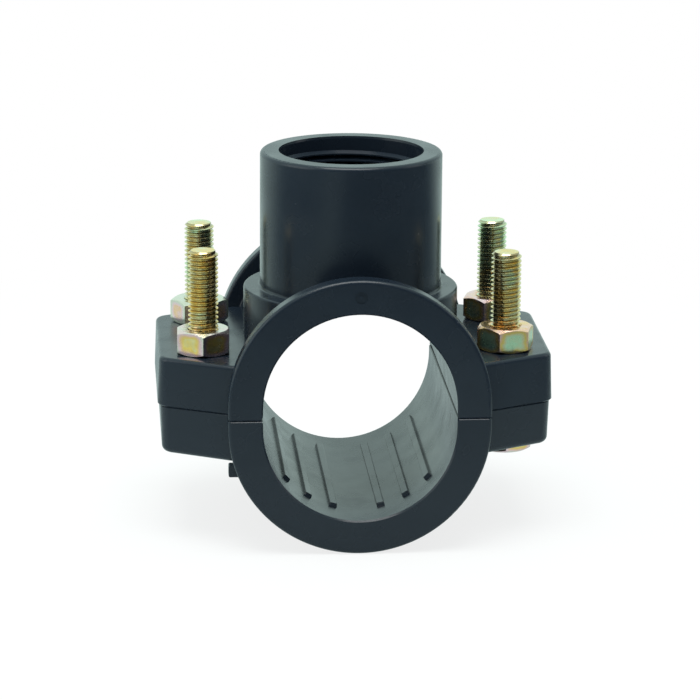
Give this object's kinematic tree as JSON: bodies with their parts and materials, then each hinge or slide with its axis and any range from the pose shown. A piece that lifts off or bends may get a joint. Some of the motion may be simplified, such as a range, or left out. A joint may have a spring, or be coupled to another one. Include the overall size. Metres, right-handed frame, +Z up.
{
  "type": "tapping saddle",
  "caption": "Bolted clamp saddle that closes round a plastic pipe and carries a threaded female branch, with a seal round its outlet.",
  "frame": {"origin": "on the pipe's axis, at mid length; the plane where the two halves meet lies 3.4 mm below it", "axes": "+Y along the pipe, +Z up the branch, +X across the pipe to the right lugs"},
  "size_m": [0.13, 0.098, 0.1244],
  "materials": {
    "black_plastic": "moulded, satin",
    "yellow_zinc": "yellow zinc plating",
    "seal_rubber": "matt"
  },
  "bodies": {
    "clamp_half": {"lower_clamp": "black_plastic", "bolt_front_left": "yellow_zinc", "bolt_front_right": "yellow_zinc", "bolt_rear_left": "yellow_zinc", "bolt_rear_right": "yellow_zinc"},
    "saddle_half": {"upper_saddle": "black_plastic", "outlet_seal": "seal_rubber"},
    "nut_front_left_body": {"nut_front_left": "yellow_zinc"},
    "nut_front_right_body": {"nut_front_right": "yellow_zinc"},
    "nut_rear_left_body": {"nut_rear_left": "yellow_zinc"},
    "nut_rear_right_body": {"nut_rear_right": "yellow_zinc"}
  },
  "joints": [
    {"name": "saddle_lift", "type": "slide", "parent": "clamp_half", "child": "saddle_half", "axis": [0, 0, 1], "range_m": [0, 0.015]},
    {"name": "nut_front_left_spin", "type": "hinge", "parent": "saddle_half", "child": "nut_front_left_body", "pos_m": [-0.0498, -0.021, 0.0168], "axis": [0, 0, 1], "range_deg": [0, 3600]},
    {"name": "nut_front_right_spin", "type": "hinge", "parent": "saddle_half", "child": "nut_front_right_body", "pos_m": [0.0498, -0.021, 0.0168], "axis": [0, 0, 1], "range_deg": [0, 3600]},
    {"name": "nut_rear_left_spin", "type": "hinge", "parent": "saddle_half", "child": "nut_rear_left_body", "pos_m": [-0.0498, 0.021, 0.0168], "axis": [0, 0, 1], "range_deg": [0, 3600]},
    {"name": "nut_rear_right_spin", "type": "hinge", "parent": "saddle_half", "child": "nut_rear_right_body", "pos_m": [0.0498, 0.021, 0.0168], "axis": [0, 0, 1], "range_deg": [0, 3600]}
  ],
  "couplings": [
    {"joint": "nut_front_left_spin", "follows": "saddle_lift", "rad_per_m": 4188.8},
    {"joint": "nut_front_right_spin", "follows": "saddle_lift", "rad_per_m": 4188.8},
    {"joint": "nut_rear_left_spin", "follows": "saddle_lift", "rad_per_m": 4188.8},
    {"joint": "nut_rear_right_spin", "follows": "saddle_lift", "rad_per_m": 4188.8}
  ]
}
